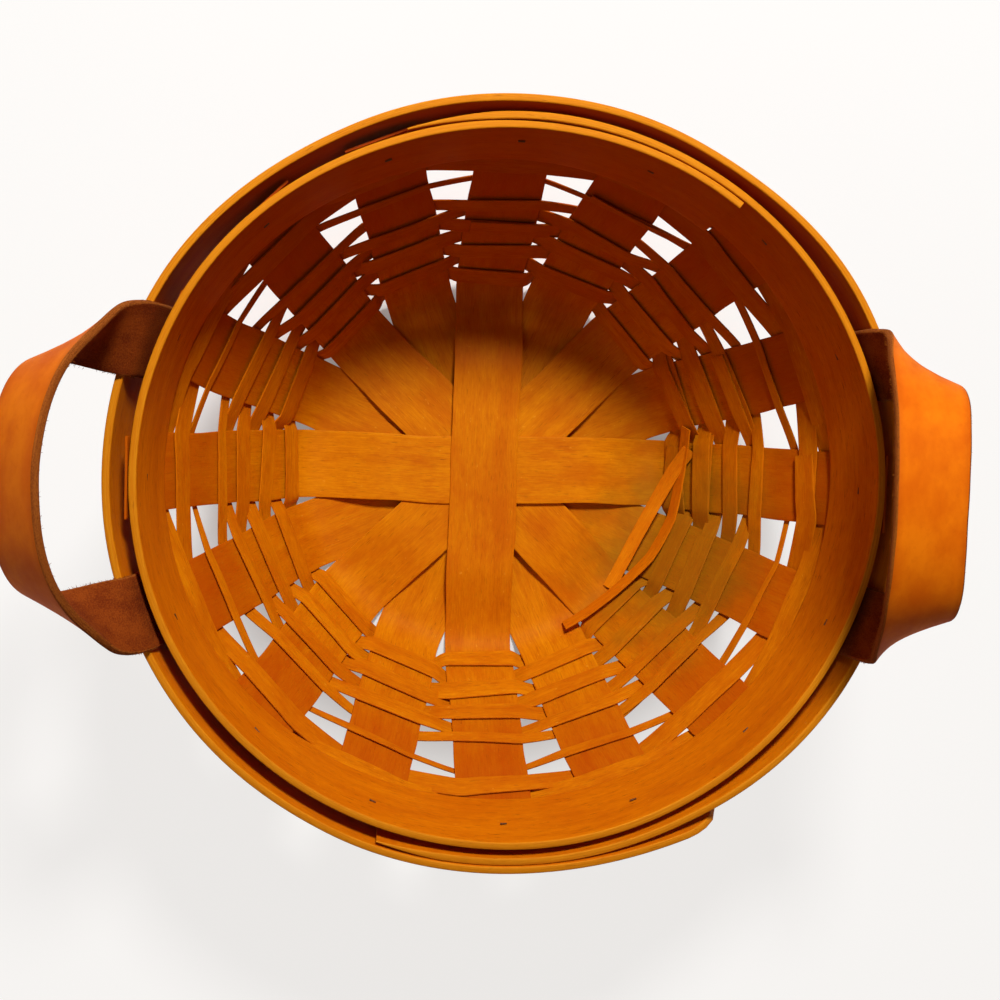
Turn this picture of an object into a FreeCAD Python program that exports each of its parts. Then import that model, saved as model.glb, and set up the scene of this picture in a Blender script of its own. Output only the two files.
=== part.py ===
"""A round open basket of wood splints, with a double rim and two leather strap handles.

Millimetres, +Z up, origin at the centre of the base. +X is the side of the right handle.
Eight wide strips cross under the middle of the floor and turn up as the sixteen stakes of the
wall. Narrow weavers go round them, over one and under one. An inner and an outer hoop hold the
tops of the stakes and the ends of both straps between them, and tacks hold the hoops together.
"""
import FreeCAD, Part
import math
import os
import Sketcher

Vector = FreeCAD.Vector

# Driving dimensions: alias, value, meaning
DIMENSIONS = [
    ("stake_width", 27.0, "width of the strips that cross the floor and climb the wall"),
    ("stake_thickness", 0.7, "thickness of those strips"),
    ("corner_gap", 3.0, "gap between neighbouring stakes where the floor meets the wall"),
    ("strip_clearance", 0.25, "room between pieces that lie on each other"),
    ("bend_radius", 9.0, "inner radius of the stakes where they turn up"),
    ("crossing_margin", 3.0, "flat length of a strip past the last strip that it crosses"),
    ("mouth_radius", 127.0, "mean inner radius at the top of the inner hoop"),
    ("rim_oval", 2.5, "how much wider the rim is towards the handles than its mean radius"),
    ("rim_height", 118.0, "height of the top of the hoops above the base"),
    ("hoop_lean", 9.0, "lean of the hoops from upright, in degrees"),
    ("inner_hoop_height", 36.0, "height of the inner hoop"),
    ("outer_hoop_height", 32.0, "height of the outer hoop"),
    ("hoop_thickness", 2.6, "thickness of both hoops"),
    ("inner_lap", 56.0, "lap of the inner hoop on itself, in degrees"),
    ("outer_lap", 51.0, "lap of the outer hoop on itself, in degrees"),
    ("lap_ease", 45.0, "turn over which a hoop moves to its second layer, in degrees"),
    ("stake_recess", 1.5, "how far the stakes end below the top of the hoops"),
    ("weaver_width", 8.0, "full width of the weavers"),
    ("weaver_thickness", 0.6, "thickness of the weavers"),
    ("weaver_margin", 0.5, "straight length of a weaver past the edge of a stake"),
    ("rim_gap", 2.0, "gap between the last row and the inner hoop, along the wall"),
    ("open_drop", 5.6, "how far the row under the open course lies below an even spread of the rows"),
    ("open_narrowing", 3.6, "how much narrower that row is than a weaver's full width"),
    ("thin_weaver_width", 3.0, "width of the single weaver that runs through the open course"),
    ("strap_width", 26.0, "width of the leather straps"),
    ("strap_thickness", 2.6, "thickness of the leather straps"),
    ("strap_grip", 28.0, "length of a strap's end between the hoops"),
    ("strap_lift", 0.6, "height above the hoops at which a strap starts to twist"),
    ("strap_rise", 3.7, "height above the hoops at which a strap starts to swing"),
    ("strap_leg", 2.0, "length of the straight leg between the hinge line and the start of a loop's arch"),
    ("loop_reach", 32.6, "distance from the end of the leg out to the middle of the grip"),
    ("loop_rise", 40.0, "height of the middle of the grip above the hinge line, when the legs lie level"),
    ("strap_leg_angle", 20.2, "angle of a strap's ends from the middle of the handle, in degrees"),
    ("grip_tilt", 38.5, "lean of the grip's upper edge towards the rim, in degrees"),
    ("left_swing", 0.0, "angle of the left handle's legs above level, in degrees"),
    ("right_swing", 42.6, "angle of the right handle's legs above level, in degrees"),
    ("tack_diameter", 1.4, "diameter of the tacks' shanks"),
    ("tack_clearance", 0.1, "room round a tack's shank"),
    ("tack_head_diameter", 4.6, "diameter of the tacks' heads"),
    ("tack_head_height", 0.9, "height of the tacks' heads"),
    ("tack_clinch", 3.6, "length of a tack's point that is bent over inside the basket"),
    ("tack_drop", 14.0, "depth of the tacks below the top of the hoops"),
    ("cut_overrun", 5.0, "length by which a cut runs past what it cuts"),
]

STAKE_COUNT = 16
ROW_COUNT = 10
STAKE_STEP = 360.0 / STAKE_COUNT
HALF_STEP = math.radians(STAKE_STEP / 2)
HOOP_STEP = 5.0
WEAVER_LAP_STAKES = 2
SHORTEST_WALL_ANGLE = 90.0

# A strap's arch: powers that square it off outward, along the rim and upward
REACH_POWER = 0.5
SPAN_POWER = 0.8
RISE_POWER = 0.9
# A strap's twist: how early it turns, and the share of half the arch after which it is done
TWIST_POWER = 0.31
TWIST_END_SHARE = 0.55
# Sections of half an arch, closer together near the rim, and the share over which its slope is taken
ARCH_SECTIONS = 12
SECTION_POWER = 1.6
SLOPE_SHARE = 0.01

# Crossing strips from the lowest to the topmost: name, direction in degrees
STAKES = [
    ("stake_north_northwest", 112.5),
    ("stake_east_northeast", 22.5),
    ("stake_east_southeast", 157.5),
    ("stake_north_northeast", 67.5),
    ("stake_northwest_southeast", 135.0),
    ("stake_northeast_southwest", 45.0),
    ("stake_east_west", 0.0),
    ("stake_north_south", 90.0),
]
LOWER_STAKES = 4
# Shares of the floor past the crossing where the lower and the upper strips start and end coming down
LOWER_RAMP_SHARES = (0.0, 0.74)
UPPER_RAMP_SHARES = (0.28, 0.98)

# Rows of the wall, counted from the floor: those pressed down below the open course, and the one in it
FIRST_PRESSED_ROW, LAST_PRESSED_ROW = 4, 7
PRESS_POWER = 1.3
OPEN_ROW = 8

# First end of each hoop and the way it runs round: -1 is clockwise seen from above
INNER_LAP_START, INNER_LAP_WAY = 109.0, -1
OUTER_LAP_START, OUTER_LAP_WAY = -110.0, 1

# Stake on which each row's first end lies, counted from the right handle
ROW_START_STAKES = [15, 1, 0, 14, 3, 0, 13, 2, 15, 5]

document = FreeCAD.newDocument("splint_basket")
sheet = document.addObject("Spreadsheet::Sheet", "Sizes")
for line, (alias, value, meaning) in enumerate(DIMENSIONS, 1):
    sheet.set(f"A{line}", meaning)
    sheet.set(f"B{line}", str(value))
    sheet.setAlias(f"B{line}", alias)
document.recompute()


def size(alias):
    """The value of one driving dimension, as the sheet holds it."""
    return float(sheet.get(alias))


parts = []


def keep(item, name):
    """Names a finished sub-part."""
    item.Label = name
    parts.append(item)
    return item


# Places that follow from the driving dimensions
strip_pitch = size("stake_thickness") + size("strip_clearance")
floor_radius = (size("stake_width") + size("corner_gap")) / (2 * math.tan(HALF_STEP))
hoop_tangent = math.tan(math.radians(size("hoop_lean")))
lower_edge_height = size("rim_height") - size("inner_hoop_height")
# Distances outward from the inner face of the inner hoop
stake_face = size("hoop_thickness") + size("strip_clearance")
strap_turn_room = size("strap_width") / 2 * math.tan(math.radians(STAKE_STEP - size("strap_leg_angle")))
strap_face = stake_face + size("stake_thickness") + strap_turn_room + size("strip_clearance")
# Room that a flat strap takes up against a round and slightly oval hoop
strap_bow = (size("strap_width") / 2) ** 2 / (2 * size("mouth_radius"))
strap_skew = size("strap_width") * size("rim_oval") / size("mouth_radius")
outer_hoop_face = strap_face + size("strap_thickness") + strap_bow + strap_skew + size("strip_clearance")
layer_step = size("hoop_thickness") + size("strip_clearance")


def hoop_radius(angle, height):
    """Radius of the inner hoop's inner face, at an angle in degrees and a height."""
    oval = size("rim_oval") * math.cos(math.radians(2 * angle)) * height / size("rim_height")
    return size("mouth_radius") + oval - (size("rim_height") - height) * hoop_tangent


def radial(angle):
    return Vector(math.cos(math.radians(angle)), math.sin(math.radians(angle)), 0)


def around(angle):
    return Vector(-math.sin(math.radians(angle)), math.cos(math.radians(angle)), 0)


UP = Vector(0, 0, 1)


def ruled_strip(sections):
    """A solid strip through four-cornered sections, straight from each to the next."""
    wires = [Part.makePolygon(corners + corners[:1]) for corners in sections]
    return Part.makeLoft(wires, True, True)


def shape_part(name, shape):
    item = document.addObject("Part::Feature", name)
    item.Shape = shape
    return keep(item, name)


# Holes for the tacks, one through the hoops and the stake at every stake

def tack_height():
    return size("rim_height") - size("tack_drop")


def tack_bore(angle):
    """A round cut along one tack, through everything at the rim."""
    start = hoop_radius(angle, tack_height()) - layer_step - size("cut_overrun")
    end = hoop_radius(angle, tack_height()) + outer_hoop_face + 2 * layer_step + size("cut_overrun")
    radius = size("tack_diameter") / 2 + size("tack_clearance")
    return Part.makeCylinder(radius, end - start, radial(angle) * start + UP * tack_height(), radial(angle))


STAKE_ANGLES = [STAKE_STEP * index for index in range(STAKE_COUNT)]
TACK_BORES = [tack_bore(angle) for angle in STAKE_ANGLES]


# Stakes

class WallLine:
    """The inner face of one stake's wall, as a line in its upright plane (distance out, height)."""

    def __init__(self, angle):
        self.foot = (floor_radius, size("stake_thickness"))
        self.shoulder = (hoop_radius(angle, lower_edge_height) + stake_face, lower_edge_height)
        self.run = self.shoulder[0] - self.foot[0]
        self.rise = self.shoulder[1] - self.foot[1]
        self.length = math.hypot(self.run, self.rise)
        self.out, self.up = self.run / self.length, self.rise / self.length

    def point(self, along, outward):
        """Distance out and height of a point along the wall and off its inner face."""
        return (self.foot[0] + self.out * along + self.up * outward,
                self.foot[1] + self.up * along - self.out * outward)


def stake_path(name, angle, level):
    """The upper and inner face of half a strip, drawn as a fully constrained sketch."""
    lower = level < LOWER_STAKES
    wall = WallLine(angle)
    crossing = size("stake_width") / 2 / math.tan(2 * HALF_STEP) + size("crossing_margin")
    floor_run = floor_radius - size("bend_radius") - crossing
    start_share, end_share = LOWER_RAMP_SHARES if lower else UPPER_RAMP_SHARES
    ramp_start = crossing + start_share * floor_run
    ramp_end = crossing + end_share * floor_run
    floor_level = size("stake_thickness") + (0 if lower else strip_pitch)
    stack_level = size("stake_thickness") + level * strip_pitch
    bend = size("bend_radius")
    bend_height = floor_level + bend
    bend_out = wall.foot[0] + ((bend_height - wall.foot[1]) * wall.out - bend) / wall.up
    turned = (bend_out + bend * wall.up, bend_height - bend * wall.out)
    top_height = size("rim_height") - size("stake_recess")
    top_out = hoop_radius(angle, top_height) + stake_face

    def spot(out, height):
        return Vector(out, height, 0)

    sketch = document.addObject("Sketcher::SketchObject", name + "_path")
    sketch.Placement = FreeCAD.Placement(Vector(), FreeCAD.Rotation(Vector(1, 0, 0), 90))
    centre = Part.Circle(spot(bend_out, bend_height), UP, bend)
    outline = [
        Part.LineSegment(spot(0, stack_level), spot(ramp_start, stack_level)),
        Part.LineSegment(spot(ramp_start, stack_level), spot(ramp_end, floor_level)),
        Part.LineSegment(spot(ramp_end, floor_level), spot(bend_out, floor_level)),
        Part.ArcOfCircle(centre, -math.pi / 2, -math.asin(wall.out)),
        Part.LineSegment(spot(*turned), spot(*wall.shoulder)),
        Part.LineSegment(spot(*wall.shoulder), spot(top_out, top_height)),
    ]
    flat, ramp, floor, turn, climb, rim = sketch.addGeometry(outline, False)
    foot = sketch.addGeometry(Part.Point(spot(*wall.foot)), True)
    start, end = 1, 2
    sketch.addConstraint([
        Sketcher.Constraint("PointOnObject", flat, start, -2),
        Sketcher.Constraint("Horizontal", flat),
        Sketcher.Constraint("Coincident", flat, end, ramp, start),
        Sketcher.Constraint("Coincident", ramp, end, floor, start),
        Sketcher.Constraint("Horizontal", floor),
        Sketcher.Constraint("Tangent", floor, end, turn, start),
        Sketcher.Constraint("Tangent", turn, end, climb, start),
        Sketcher.Constraint("Coincident", climb, end, rim, start),
        Sketcher.Constraint("PointOnObject", foot, start, climb),
    ])
    oval = f"Sizes.rim_oval * cos({2 * angle} deg) / Sizes.rim_height"
    face = "Sizes.mouth_radius + Sizes.hoop_thickness + Sizes.strip_clearance"
    lean = "tan(Sizes.hoop_lean * 1 deg)"
    pitch = "(Sizes.stake_thickness + Sizes.strip_clearance)"
    half_step = f"{STAKE_STEP / 2} deg"
    crossing_text = f"Sizes.stake_width / 2 / tan({STAKE_STEP} deg) + Sizes.crossing_margin"
    floor_text = f"(Sizes.stake_width + Sizes.corner_gap) / (2 * tan({half_step}))"
    run_text = f"({floor_text} - Sizes.bend_radius - ({crossing_text}))"
    bound = [
        ("DistanceY", flat, start, stack_level, "stack_level",
         f"Sizes.stake_thickness + {level} * {pitch}"),
        ("DistanceX", flat, end, ramp_start, "ramp_start", f"{crossing_text} + {start_share} * {run_text}"),
        ("DistanceX", ramp, end, ramp_end, "ramp_end", f"{crossing_text} + {end_share} * {run_text}"),
        ("DistanceY", ramp, end, floor_level, "floor_level",
         f"Sizes.stake_thickness + {0 if lower else 1} * {pitch}"),
        ("DistanceX", foot, start, wall.foot[0], "foot_out", floor_text),
        ("DistanceY", foot, start, wall.foot[1], "foot_height", "Sizes.stake_thickness"),
        ("DistanceX", climb, end, wall.shoulder[0], "shoulder_out",
         f"{face} + {oval} * (Sizes.rim_height - Sizes.inner_hoop_height)"
         f" - Sizes.inner_hoop_height * {lean}"),
        ("DistanceY", climb, end, wall.shoulder[1], "shoulder_height",
         "Sizes.rim_height - Sizes.inner_hoop_height"),
        ("DistanceX", rim, end, top_out, "top_out",
         f"{face} + {oval} * (Sizes.rim_height - Sizes.stake_recess)"
         f" - Sizes.stake_recess * {lean}"),
        ("DistanceY", rim, end, top_height, "top_height", "Sizes.rim_height - Sizes.stake_recess"),
    ]
    for kind, geometry, point, value, label, text in bound:
        index = sketch.addConstraint(Sketcher.Constraint(kind, -1, 1, geometry, point, value))
        sketch.renameConstraint(index, label)
        sketch.setExpression(f"Constraints.{label}", text)
    index = sketch.addConstraint(Sketcher.Constraint("Radius", turn, bend))
    sketch.renameConstraint(index, "bend")
    sketch.setExpression("Constraints.bend", "Sizes.bend_radius")
    return sketch


def make_stake(name, angle, level):
    """A strip bent up at both ends, with a hole in each wall for its tack."""
    path = stake_path(name, angle, level)
    skin = document.addObject("Part::Offset2D", name + "_section")
    skin.Source = path
    skin.Mode = "Skin"
    skin.Join = "Intersection"
    skin.Fill = True
    skin.Value = -size("stake_thickness")
    skin.setExpression("Value", "-Sizes.stake_thickness")
    half = document.addObject("Part::Extrusion", name + "_half")
    half.Base = skin
    half.DirMode = "Custom"
    half.Dir = Vector(0, 1, 0)
    half.Symmetric = True
    half.LengthFwd = size("stake_width")
    half.setExpression("LengthFwd", "Sizes.stake_width")
    other = document.addObject("Part::Mirroring", name + "_other_half")
    other.Source = half
    other.Normal = Vector(1, 0, 0)
    strip = document.addObject("Part::MultiFuse", name + "_strip")
    strip.Shapes = [half, other]
    strip.Refine = True
    bore = document.addObject("Part::Cylinder", name + "_bore")
    bore.setExpression("Radius", "Sizes.tack_diameter / 2 + Sizes.tack_clearance")
    bore.setExpression("Height", "2 * (Sizes.mouth_radius + Sizes.strap_width)")
    bore.Placement.Rotation = FreeCAD.Rotation(Vector(0, 1, 0), 90)
    bore.setExpression("Placement.Base.x", "-(Sizes.mouth_radius + Sizes.strap_width)")
    bore.setExpression("Placement.Base.z", "Sizes.rim_height - Sizes.tack_drop")
    stake = document.addObject("Part::Cut", name)
    stake.Base = strip
    stake.Tool = bore
    stake.Placement = FreeCAD.Placement(Vector(), FreeCAD.Rotation(UP, angle))
    return keep(stake, name)


# Weavers

def weaver_section(angle, along, width, outward, across):
    """The four corners of a weaver beside one stake, at a distance across it."""
    wall = WallLine(angle)
    half_width = width / 2
    half_thickness = size("weaver_thickness") / 2
    corners = []
    for rise, depth in ((-1, -1), (-1, 1), (1, 1), (1, -1)):
        out, height = wall.point(along + rise * half_width, outward + depth * half_thickness)
        corners.append(radial(angle) * out + around(angle) * across + UP * height)
    return corners


def row_width(row, pressed_share):
    """Width of one row's weaver: thin in the open course, narrower the more a row is pressed down."""
    if row == OPEN_ROW:
        return size("thin_weaver_width")
    return size("weaver_width") - pressed_share * size("open_narrowing")


def row_bands():
    """Number, distance along the wall and width of each row, spread from the bend to the inner hoop."""
    wall = WallLine(SHORTEST_WALL_ANGLE)
    turn = math.pi / 2 - math.asin(wall.out)
    first = size("bend_radius") * math.tan(turn / 2) + strip_pitch
    first += size("weaver_width") / 2 + size("strip_clearance")
    last = wall.length - size("rim_gap") - size("weaver_width") / 2
    pitch = (last - first) / (ROW_COUNT - 1)
    pressed_rows = LAST_PRESSED_ROW - FIRST_PRESSED_ROW + 1
    bands = []
    for row in range(1, ROW_COUNT + 1):
        pressed_share = 0.0
        if FIRST_PRESSED_ROW <= row <= LAST_PRESSED_ROW:
            pressed_share = ((row - FIRST_PRESSED_ROW + 1) / pressed_rows) ** PRESS_POWER
        along = first + pitch * (row - 1) - pressed_share * size("open_drop")
        bands.append((row, along, row_width(row, pressed_share)))
    return bands


def make_weaver(row, along, width):
    """One strip round the wall, over one stake and under the next, its last end lapped inside."""
    inside = -size("strip_clearance") - size("weaver_thickness") / 2
    outside = size("stake_thickness") - inside
    layer = size("weaver_thickness") + size("strip_clearance")
    reach = size("stake_width") / 2 + size("weaver_margin")
    passes = STAKE_COUNT + WEAVER_LAP_STAKES
    sections = []
    for number in range(passes):
        stake = ROW_START_STAKES[row - 1] + number
        within = (stake + row) % 2 == 1
        outward = inside if within else outside
        first_layer = number < WEAVER_LAP_STAKES
        last_layer = number >= STAKE_COUNT
        if first_layer and not within:
            outward += layer
        if last_layer and within:
            outward -= layer
        for side in (-1, 1):
            sections.append(weaver_section(stake * STAKE_STEP, along, width, outward, side * reach))
    return shape_part(f"weaver_row_{row:02d}", ruled_strip(sections))


# Hoops

def hoop_section(angle, height, outward):
    """The four corners of a hoop whose inner face lies outward of the inner hoop's inner face."""
    corners = []
    for share, depth in ((0, 0), (0, 1), (1, 1), (1, 0)):
        level = size("rim_height") - height * (1 - share)
        radius = hoop_radius(angle, level) + outward + depth * size("hoop_thickness")
        corners.append(radial(angle) * radius + UP * level)
    return corners


def eased(share):
    share = min(1.0, max(0.0, share))
    return share * share * (3 - 2 * share)


def hoop_layer(turned):
    """Share of the way to the second layer, after a turn in degrees from the hoop's first end."""
    return eased((turned - 360 + size("lap_ease")) / size("lap_ease"))


def make_hoop(name, height, outward, start, way, lap, step_to_lap):
    """A strip bent round the rim, whose second end laps over its first."""
    count = math.ceil((360 + lap) / HOOP_STEP)
    sections = []
    for index in range(count + 1):
        turned = (360 + lap) * index / count
        moved = outward + step_to_lap * hoop_layer(turned)
        sections.append(hoop_section(start + way * turned, height, moved))
    hoop = ruled_strip(sections)
    return shape_part(name, hoop.cut(TACK_BORES))


def lap_state(angle, start, way, lap):
    """Share of a hoop's second layer that covers one place of the rim."""
    turned = (way * (angle - start)) % 360
    if turned <= lap:
        return 1.0
    return hoop_layer(turned)


# Straps

class HandleSide:
    """Directions and places at one handle: -1 is the left side, +1 the right side."""

    def __init__(self, side, swing):
        self.out = Vector(side, 0, 0)
        self.along = Vector(0, 1, 0)
        self.swing = math.radians(swing)
        self.middle_angle = 0.0 if side > 0 else 180.0
        self.axis_height = (size("rim_height") + size("strap_rise")
                            + size("strip_clearance") + size("strap_thickness") / 2)
        root = self.grip_centre(1, size("rim_height"))
        self.axis_out = abs(root.x)
        self.leg_along = abs(root.y)

    def leg_angle(self, leg):
        """Angle round the rim of one leg: leg is +1 towards +Y, -1 towards -Y."""
        turn = size("strap_leg_angle") * self.out.x
        return self.middle_angle + leg * turn

    def grip_centre(self, leg, height):
        """Middle of a strap's end between the hoops, at one height."""
        angle = self.leg_angle(leg)
        outward = strap_face + size("strap_thickness") / 2
        return radial(angle) * (hoop_radius(angle, height) + outward) + UP * height

    def swung(self, out, along, up):
        """A point of the loop from its level shape, swung about the hinge line."""
        cos_swing, sin_swing = math.cos(self.swing), math.sin(self.swing)
        turned_out = out * cos_swing - up * sin_swing
        turned_up = out * sin_swing + up * cos_swing
        base = self.out * self.axis_out + UP * self.axis_height
        return base + self.out * turned_out + self.along * along + UP * turned_up


def strap_section(centre, across, through):
    """The four corners of a strap with its width along one direction and its thickness along another."""
    wide = across * (size("strap_width") / 2)
    thick = through * (size("strap_thickness") / 2)
    return [centre + wide + thick, centre + wide - thick, centre - wide - thick, centre - wide + thick]


def make_strap_ends(name, handle):
    """The two ends of a strap, held between the hoops and twisted in line with the hinge line."""
    solids = []
    for leg in (1, -1):
        angle = handle.leg_angle(leg)
        rim, lift = size("rim_height"), size("strap_lift")
        low = handle.grip_centre(leg, rim - size("strap_grip"))
        top = handle.grip_centre(leg, rim)
        tangent = around(angle)
        if tangent.y < 0:
            tangent = -tangent
        hinge_end = Vector(top.x, top.y, rim + size("strap_rise"))
        sections = [
            strap_section(low, tangent, radial(angle)),
            strap_section(top, tangent, radial(angle)),
            strap_section(top + UP * lift, tangent, radial(angle)),
            strap_section(hinge_end, handle.along, handle.out),
        ]
        bore = TACK_BORES[round(angle / STAKE_STEP) % STAKE_COUNT]
        solids.append(ruled_strip(sections).cut(bore))
    return shape_part(name, Part.makeCompound(solids))


def loop_place(handle, share):
    """A place on a strap's middle line, at a share of the way from the leg to the grip's middle."""
    turn = math.pi / 2 * min(1.0, max(0.0, share))
    return Vector(size("strap_leg") + size("loop_reach") * math.sin(turn) ** REACH_POWER,
                  handle.leg_along * max(0.0, math.cos(turn)) ** SPAN_POWER,
                  size("loop_rise") * math.sin(turn) ** RISE_POWER)


def loop_frame(handle, share):
    """Place, direction across and inner face of a strap in its level shape.

    The strap twists on its way, from lying flat at the rim to showing its outer face upward in the grip.
    """
    place = loop_place(handle, share)
    heading = loop_place(handle, share + SLOPE_SHARE) - loop_place(handle, share - SLOPE_SHARE)
    if share == 0:
        heading = Vector(1, 0, 0)
    if share == 1:
        heading = Vector(0, -1, 0)
    heading.normalize()
    sideways = Vector(-heading.y, heading.x, 0).normalize()
    upward = heading.cross(sideways)
    twist = math.radians(90 + size("grip_tilt")) * eased(share / TWIST_END_SHARE) ** TWIST_POWER
    across = sideways * math.cos(twist) + upward * math.sin(twist)
    inner_face = upward * math.cos(twist) - sideways * math.sin(twist)
    return place, across, inner_face


def make_strap_loop(name, handle):
    """The free part of a strap, which swings about the hinge line over the rim."""
    shares = [(index / ARCH_SECTIONS) ** SECTION_POWER for index in range(ARCH_SECTIONS + 1)]
    arch = [loop_frame(handle, share) for share in shares]
    leg_place, leg_across, leg_inner_face = arch[0]
    hinge_end = (leg_place - Vector(size("strap_leg"), 0, 0), leg_across, leg_inner_face)
    half = [hinge_end] + arch
    sections = []
    for mirror, frames in ((1, half), (-1, half[-2::-1])):
        for place, across, inner_face in frames:
            corners = strap_section(place, across, inner_face)
            sections.append([handle.swung(corner.x, mirror * corner.y, corner.z) for corner in corners])
    return shape_part(name, ruled_strip(sections))


# Tacks

def make_tack(angle):
    """A tack driven from outside, its point bent over on the inner hoop's inner face."""
    height = tack_height()
    inner_layer = lap_state(angle, INNER_LAP_START, INNER_LAP_WAY, size("inner_lap"))
    outer_layer = lap_state(angle, OUTER_LAP_START, OUTER_LAP_WAY, size("outer_lap"))
    radius = size("tack_diameter") / 2
    lean_room = hoop_tangent * size("tack_head_diameter") / 2 + size("strip_clearance")
    inner = hoop_radius(angle, height) - inner_layer * layer_step - radius - lean_room
    outer = hoop_radius(angle, height) + outer_hoop_face + size("hoop_thickness")
    outer += outer_layer * layer_step + lean_room
    start = radial(angle) * inner + UP * height
    shank = Part.makeCylinder(radius, outer - inner + size("tack_head_height"), start, radial(angle))
    head = Part.makeCylinder(size("tack_head_diameter") / 2, size("tack_head_height"),
                             radial(angle) * outer + UP * height, radial(angle))
    point = Part.makeCone(radius, radius / 2, size("tack_clinch"), start, around(angle))
    knee = Part.makeSphere(radius, start)
    return shank.multiFuse([head, point, knee]).removeSplitter()


# The whole basket

for level, (stake_name, stake_angle) in enumerate(STAKES):
    make_stake(stake_name, stake_angle, level)
for row, along, width in row_bands():
    make_weaver(row, along, width)
make_hoop("inner_hoop", size("inner_hoop_height"), 0, INNER_LAP_START, INNER_LAP_WAY,
          size("inner_lap"), -layer_step)
make_hoop("outer_hoop", size("outer_hoop_height"), outer_hoop_face, OUTER_LAP_START, OUTER_LAP_WAY,
          size("outer_lap"), layer_step)
for handle_name, side, swing in (("left", -1, "left_swing"), ("right", 1, "right_swing")):
    handle = HandleSide(side, size(swing))
    make_strap_ends(f"{handle_name}_strap_ends", handle)
    make_strap_loop(f"{handle_name}_strap_loop", handle)
shape_part("rim_tacks", Part.makeCompound([make_tack(angle) for angle in STAKE_ANGLES]))

document.recompute()
for item in document.Objects:
    if "Invalid" in item.State or "Error" in item.State:
        raise RuntimeError(f"{item.Label} failed: {item.State}")
for item in parts:
    if item.Shape.isNull() or not item.Shape.isValid():
        raise RuntimeError(f"{item.Label} has no valid shape")
os.makedirs("parts", exist_ok=True)
for item in parts:
    item.Shape.exportStep(os.path.join("parts", f"{item.Label}.step"))
    print(item.Label, "solids", len(item.Shape.Solids), "volume", round(item.Shape.Volume, 1))
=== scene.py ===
"""The looks of a round splint basket with a double rim and two leather strap handles.

Shapes are worked out in millimetres and written to meshes in metres, in the frame of the solids.
The points of every strip carry the length along it, the place across it and a number for the
piece, so that the grain of the wood follows the strip.
"""
import math
import random
from collections import namedtuple

import bmesh
import bpy
from mathutils import Color, Matrix, Vector


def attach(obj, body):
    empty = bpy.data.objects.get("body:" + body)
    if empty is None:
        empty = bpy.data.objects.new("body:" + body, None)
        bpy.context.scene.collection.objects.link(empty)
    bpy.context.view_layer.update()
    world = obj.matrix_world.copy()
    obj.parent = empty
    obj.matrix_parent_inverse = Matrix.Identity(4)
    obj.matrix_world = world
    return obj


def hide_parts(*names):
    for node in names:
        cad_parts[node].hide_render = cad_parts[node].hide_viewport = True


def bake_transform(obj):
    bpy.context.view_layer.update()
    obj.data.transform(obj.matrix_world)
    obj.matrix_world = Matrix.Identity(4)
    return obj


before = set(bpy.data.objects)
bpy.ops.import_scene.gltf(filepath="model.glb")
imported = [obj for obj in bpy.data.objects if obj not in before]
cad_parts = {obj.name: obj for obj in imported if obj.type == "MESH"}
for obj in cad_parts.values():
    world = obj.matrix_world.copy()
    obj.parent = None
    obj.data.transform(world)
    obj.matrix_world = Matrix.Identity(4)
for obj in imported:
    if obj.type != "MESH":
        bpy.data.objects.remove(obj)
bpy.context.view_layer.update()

MM = 0.001
UP = Vector((0, 0, 1))

# Sizes in millimetres and degrees, as in the solids, with the strips a little thicker and closer together
STAKE_COUNT = 16
STAKE_STEP = 360 / STAKE_COUNT
STAKE_WIDTH = 27.0
STAKE_THICKNESS = 0.8
CORNER_GAP = 3.0
STRIP_CLEARANCE = 0.15
BEND_RADIUS = 9.0
MOUTH_RADIUS = 127.0
RIM_OVAL = 2.5
RIM_HEIGHT = 118.0
HOOP_LEAN = 9.0
INNER_HOOP_HEIGHT = 36.0
OUTER_HOOP_HEIGHT = 32.0
HOOP_THICKNESS = 2.7
OUTER_HOOP_FACE = 8.6
LAYER_STEP = 2.85
STAKE_FACE = 2.85
STRAP_FACE = 4.2
STAKE_RECESS = 8.0
TALL_STAKE = "stake_east_west"
TALL_STAKE_RECESS = 2.0
ROW_COUNT = 10
FIRST_ROW = 9.8
LAST_ROW = 89.6
ROW_PITCH = (LAST_ROW - FIRST_ROW) / (ROW_COUNT - 1)
WEAVER_THICKNESS = 0.65
WEAVER_LAP_STAKES = 2
STRAP_WIDTH = 26.0
STRAP_THICKNESS = 2.8
STRAP_GRIP = 28.0
STRAP_LEG = 2.0
STRAP_LEG_ANGLE = 20.2
LOOP_REACH = 32.6
LOOP_RISE = 40.0
GRIP_TILT = 38.5
TWIST_POWER = 0.31
TWIST_END_SHARE = 0.55
REACH_POWER = 0.5
SPAN_POWER = 0.8
RISE_POWER = 0.9
SECTION_POWER = 1.6
SLOPE_SHARE = 0.01
HINGE_OUT = 126.25
HINGE_HEIGHT = 123.25
LEFT_SWING = 0.0
RIGHT_SWING = 42.6
TACK_DROP = 14.0

FLOOR_RADIUS = (STAKE_WIDTH + CORNER_GAP) / (2 * math.tan(math.radians(STAKE_STEP / 2)))
LOWER_EDGE_HEIGHT = RIM_HEIGHT - INNER_HOOP_HEIGHT
HOOP_TANGENT = math.tan(math.radians(HOOP_LEAN))

# Crossing strips from the lowest to the topmost: name, direction in degrees
STAKES = [
    ("stake_north_northwest", 112.5),
    ("stake_east_northeast", 22.5),
    ("stake_east_southeast", 157.5),
    ("stake_north_northeast", 67.5),
    ("stake_northwest_southeast", 135.0),
    ("stake_northeast_southwest", 45.0),
    ("stake_east_west", 0.0),
    ("stake_north_south", 90.0),
]
LOWER_STAKES = 4

# Stake on which each row's first end lies, counted from the right handle
ROW_START_STAKES = [15, 1, 0, 14, 3, 0, 13, 2, 15, 5]

Station = namedtuple("Station", "centre across through half_width half_thickness along")


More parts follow.
